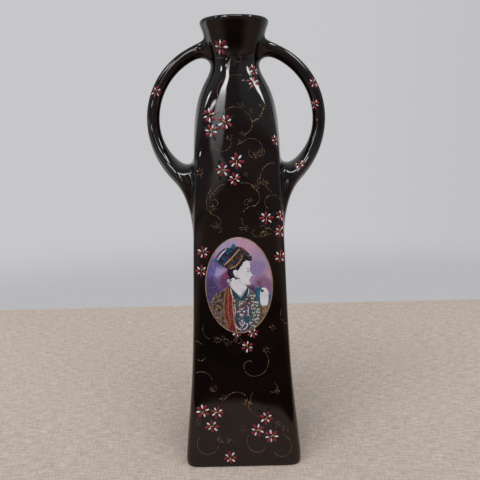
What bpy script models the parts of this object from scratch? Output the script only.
"""Openwork handled vase in glazed earthenware, fired as one hollow piece.

A square foot rises to a round neck and a flared mouth. Two openwork handles spring from the
neck, swing out in one sweep and run down into the shoulders. The piece is a coarse cage of one
quarter of the vase, mirrored across its two planes of symmetry and rounded by subdivision.

Metres, +Z up. The origin is at the middle of the underside, and the picture face looks to -Y.
"""

import math

import bmesh
import bpy

MM = 0.001

# Whole vase
NAME = "vase"
HEIGHT = 351 * MM
WALL = 4.6 * MM
FLOOR = 6.0 * MM

# Foot: a level rim that stands on the table, round a shallow recess
FOOT_HALF_WIDTH = 47.6 * MM
RIM_WIDTH = 6.0 * MM
RIM_ROUNDING = 1.8 * MM
RECESS_DEPTH = 2.5 * MM

# Outline of the wall from the foot to just under the lip: height, half width
BODY_OUTLINE = (
    (5.0 * MM, 47.5 * MM),
    (16.0 * MM, 46.5 * MM),
    (40.0 * MM, 43.95 * MM),
    (70.0 * MM, 41.05 * MM),
    (100.0 * MM, 39.1 * MM),
    (131.0 * MM, 37.65 * MM),
    (162.0 * MM, 36.5 * MM),
    (193.0 * MM, 35.7 * MM),
    (217.0 * MM, 35.2 * MM),
    (240.5 * MM, 35.0 * MM),
    (254.0 * MM, 34.7 * MM),
    (268.0 * MM, 33.65 * MM),
    (282.0 * MM, 31.9 * MM),
    (294.0 * MM, 29.0 * MM),
    (304.0 * MM, 24.6 * MM),
    (312.0 * MM, 20.3 * MM),
    (320.0 * MM, 18.4 * MM),
    (328.0 * MM, 19.5 * MM),
    (336.5 * MM, 22.3 * MM),
    (343.0 * MM, 24.5 * MM),
    (347.5 * MM, 26.2 * MM),
)
SHOULDER_RING = 7
NECK_RING = 16
ROOT_RINGS = 2
LIP_HALF_WIDTH = 26.6 * MM
LIP_DROP = 1.5 * MM

# Plan of the wall: it is square at the foot and turns round as it rises
ROUND_HEIGHT = 316 * MM
SQUARENESS_FALL = 4.5
ROUND_ANGLES = (0.0, 22.0, 34.0, 45.0)
SQUARE_PLACES = (0.0, 0.25, 0.68, 1.0)

# Handle: each side of its outline is two arcs, which meet where the handle reaches furthest out
HANDLE_LEVEL = 276 * MM
HANDLE_REACH = 70.7 * MM
HANDLE_THICKNESS = 10.0 * MM
HANDLE_DEPTH = 8.4 * MM
HANDLE_CORNER = 0.74
UPPER_OUTER_RADIUS = 61 * MM
UPPER_INNER_RADIUS = 51.2 * MM
LOWER_OUTER_RADIUS = 65.5 * MM
LOWER_INNER_RADIUS = 41.7 * MM
UPPER_SWEEP = math.radians(72)
LOWER_SWEEP = math.radians(56)
UPPER_STEPS = 5
LOWER_STEPS = 4
ROOT_SWELL = 0.9 * MM
ROOT_DEPTH = 56 * MM
ROOT_FLARE = 2.0
ROOT_SPREAD = 0.75
CORNER_SPREAD = 0.6

SETTLING_ROUNDS = 30
SUBDIVISION_LEVELS = 1
GLAZE_COLOUR = (0.012, 0.008, 0.007, 1.0)
GLAZE_ROUGHNESS = 0.08


def squareness_at(height):
    """How square the plan is at a height: 1 is square, 0 is round."""
    return max(0.0, 1.0 - (height / ROUND_HEIGHT) ** SQUARENESS_FALL)


def quarter_ring(height, half_width):
    """Cage points of one quarter of the plan, from the +X side round to the +Y side."""
    squareness = squareness_at(height)
    octant = []
    for angle, place in zip(ROUND_ANGLES, SQUARE_PLACES):
        round_x = math.cos(math.radians(angle))
        round_y = math.sin(math.radians(angle))
        x = round_x + (1.0 - round_x) * squareness
        y = round_y + (place - round_y) * squareness
        octant.append((x * half_width, y * half_width))
    flattening = (2.0 + octant[1][0] / half_width) / 3.0
    octant = [(x / flattening, y / flattening) for x, y in octant]
    mirrored = [(y, x) for x, y in reversed(octant[:-1])]
    return [(x, y, height) for x, y in octant + mirrored]


def cage_through(outline):
    """Cage points that make the subdivided line pass through an outline; its ends stay put."""
    cage = [list(point) for point in outline]
    for _ in range(SETTLING_ROUNDS):
        for index in range(1, len(outline) - 1):
            for axis in (0, 1):
                neighbours = cage[index - 1][axis] + cage[index + 1][axis]
                cage[index][axis] = (6.0 * outline[index][axis] - neighbours) / 4.0
    return [tuple(point) for point in cage]


def wall_inside(outline):
    """The inner face of the wall: the outline moved in by the wall's thickness, square to it."""
    inside = []
    for below, station, above in zip(outline, outline[1:], outline[2:]):
        rise = above[0] - below[0]
        spread = above[1] - below[1]
        length = math.hypot(rise, spread)
        height = station[0] + WALL * spread / length
        half_width = station[1] - WALL * rise / length
        inside.append((height, half_width))
    return inside


def foot_rings():
    """Underside from the recess's edge out to the foot's edge: height, half width."""
    edge = FOOT_HALF_WIDTH
    inner = edge - RIM_ROUNDING - RIM_WIDTH
    return [
        (RECESS_DEPTH, inner - 2 * RIM_ROUNDING),
        (RECESS_DEPTH, inner - RIM_ROUNDING),
        (0.0, inner),
        (0.0, inner + RIM_WIDTH / 3),
        (0.0, edge - RIM_ROUNDING),
        (0.0, edge - RIM_ROUNDING / 3),
    ]


def lip_rings():
    """The rounded lip, from its outer edge over the top to the mouth: height, half width."""
    return [
        (HEIGHT - LIP_DROP, LIP_HALF_WIDTH),
        (HEIGHT, LIP_HALF_WIDTH - WALL / 3),
        (HEIGHT, LIP_HALF_WIDTH - 2 * WALL / 3),
        (HEIGHT - LIP_DROP, LIP_HALF_WIDTH - WALL),
    ]


def floor_rings(half_width):
    """The turn from the inner wall to the inner floor: height, half width."""
    return [
        (FLOOR + WALL, half_width),
        (FLOOR, half_width - WALL),
    ]


def cage_radius(radius, step):
    """Radius for cage points a step apart, so that the subdivided arc has the wanted radius."""
    return 3.0 * radius / (2.0 + math.cos(step))


def arc_point(reach, radius, angle, step):
    """Cage point on an arc that reaches furthest out at the handle's level."""
    swing = cage_radius(radius, step)
    return reach - radius + swing * math.cos(angle), HANDLE_LEVEL + swing * math.sin(angle)


def handle_half_ring(angle, step, outer_radius, inner_radius, depth):
    """Half of the handle's section on the +Y side, from its outer face to its inner face."""
    outer = arc_point(HANDLE_REACH, outer_radius, angle, step)
    inner = arc_point(HANDLE_REACH - HANDLE_THICKNESS, inner_radius, angle, step)
    middle_x = (outer[0] + inner[0]) / 2
    middle_z = (outer[1] + inner[1]) / 2
    shrink = (2.0 + HANDLE_CORNER) / 3.0
    half_x = (outer[0] - inner[0]) / 2 / shrink
    half_z = (outer[1] - inner[1]) / 2 / shrink
    half_depth = depth / 2 / shrink
    corner = HANDLE_CORNER
    section = ((1.0, 0.0), (corner, corner), (0.0, 1.0), (-corner, corner), (-1.0, 0.0))
    return [(middle_x + out * half_x, deep * half_depth, middle_z + out * half_z)
            for out, deep in section]


def handle_rings():
    """The handle's half sections, from the neck down to the shoulder."""
    rings = []
    step = UPPER_SWEEP / UPPER_STEPS
    for index in range(UPPER_STEPS, 0, -1):
        rings.append(handle_half_ring(index * step, step, UPPER_OUTER_RADIUS, UPPER_INNER_RADIUS,
                                      HANDLE_DEPTH))
    step = LOWER_SWEEP / LOWER_STEPS
    for index in range(LOWER_STEPS + 1):
        depth = HANDLE_DEPTH + (ROOT_DEPTH - HANDLE_DEPTH) * (index / LOWER_STEPS) ** ROOT_FLARE
        rings.append(handle_half_ring(-index * step, step, LOWER_OUTER_RADIUS, LOWER_INNER_RADIUS,
                                      depth))
    return rings


def add_strip(mesh, first, second, skipped=0):
    """Quads between two rows of cage vertices, leaving out a number of them at the start."""
    for index in range(skipped, len(first) - 1):
        mesh.faces.new((first[index], first[index + 1], second[index + 1], second[index]))


def add_rows(mesh, rings):
    """Cage vertices for a list of rings."""
    return [[mesh.verts.new(point) for point in ring] for ring in rings]


def add_cap(mesh, row):
    """Close a quarter ring with a grid of quads that runs in to the vase's axis."""
    side = len(row) // 2
    height = row[0].co.z
    grid = {(side, index): row[index] for index in range(side + 1)}
    grid.update({(index, side): row[2 * side - index] for index in range(side + 1)})
    for across in range(side):
        for along in range(side):
            x = grid[side, along].co.x * across / side
            y = grid[across, side].co.y * along / side
            grid[across, along] = mesh.verts.new((x, y, height))
    for across in range(side):
        for along in range(side):
            corners = ((across, along), (across + 1, along), (across + 1, along + 1),
                       (across, along + 1))
            mesh.faces.new([grid[corner] for corner in corners])


def add_handle(mesh, rows):
    """Join the handle's half rings to the neck and the shoulder, through the open patches."""
    neck = rows[NECK_RING:NECK_RING + ROOT_RINGS + 1]
    shoulder = rows[SHOULDER_RING:SHOULDER_RING + ROOT_RINGS + 1]
    neck_edge = [neck[2][0], neck[2][1], neck[1][1], neck[0][1], neck[0][0]]
    shoulder_edge = [shoulder[0][0], shoulder[0][1], shoulder[1][1], shoulder[2][1], shoulder[2][0]]
    strips = [neck_edge] + add_rows(mesh, handle_rings()) + [shoulder_edge]
    for first, second in zip(strips, strips[1:]):
        add_strip(mesh, first, second)
    for vertex in shoulder[0][:ROOT_RINGS]:
        vertex.co.x += ROOT_SWELL
    for row in rows[SHOULDER_RING - 1:SHOULDER_RING + ROOT_RINGS + 2]:
        row[2].co = row[2].co.lerp(row[3].co, CORNER_SPREAD)
        row[1].co = row[1].co.lerp(row[2].co, ROOT_SPREAD)
    mesh.verts.remove(neck[1][0])
    mesh.verts.remove(shoulder[1][0])


def build_cage():
    """Mesh of one quarter of the vase's cage, open at its planes of symmetry."""
    wall = cage_through(BODY_OUTLINE)
    inner_wall = cage_through(wall_inside(BODY_OUTLINE)[1::2])
    inner_wall.reverse()
    stations = foot_rings() + wall + lip_rings() + inner_wall + floor_rings(inner_wall[-1][1])
    mesh = bmesh.new()
    rows = add_rows(mesh, [quarter_ring(*station) for station in stations])
    body_rows = rows[len(foot_rings()):]
    open_rows = [*range(SHOULDER_RING, SHOULDER_RING + ROOT_RINGS),
                 *range(NECK_RING, NECK_RING + ROOT_RINGS)]
    patch_rows = [body_rows[index] for index in open_rows]
    for first, second in zip(rows, rows[1:]):
        add_strip(mesh, first, second, skipped=1 if first in patch_rows else 0)
    add_cap(mesh, rows[0])
    add_cap(mesh, rows[-1])
    add_handle(mesh, body_rows)
    bmesh.ops.recalc_face_normals(mesh, faces=mesh.faces)
    cage = bpy.data.meshes.new(NAME)
    mesh.to_mesh(cage)
    mesh.free()
    return cage


def glaze_material():
    """Glossy black-brown glaze."""
    material = bpy.data.materials.new("glaze")
    material.use_nodes = True
    shader = material.node_tree.nodes["Principled BSDF"]
    shader.inputs["Base Color"].default_value = GLAZE_COLOUR
    shader.inputs["Roughness"].default_value = GLAZE_ROUGHNESS
    shader.inputs["Metallic"].default_value = 0.0
    return material


def build_vase(collection):
    """The vase as one object, with its mirror and its subdivision."""
    cage = build_cage()
    cage.shade_smooth()
    cage.materials.append(glaze_material())
    vase = bpy.data.objects.new(NAME, cage)
    collection.objects.link(vase)
    mirror = vase.modifiers.new("Mirror", "MIRROR")
    mirror.use_axis = (True, True, False)
    mirror.merge_threshold = 0.01 * MM
    rounding = vase.modifiers.new("Subdivision", "SUBSURF")
    rounding.levels = SUBDIVISION_LEVELS
    rounding.render_levels = SUBDIVISION_LEVELS
    return vase


def main():
    for old in list(bpy.data.objects):
        bpy.data.objects.remove(old)
    collection = bpy.data.collections.new("Openwork handled vase")
    bpy.context.scene.collection.children.link(collection)
    build_vase(collection)


main()
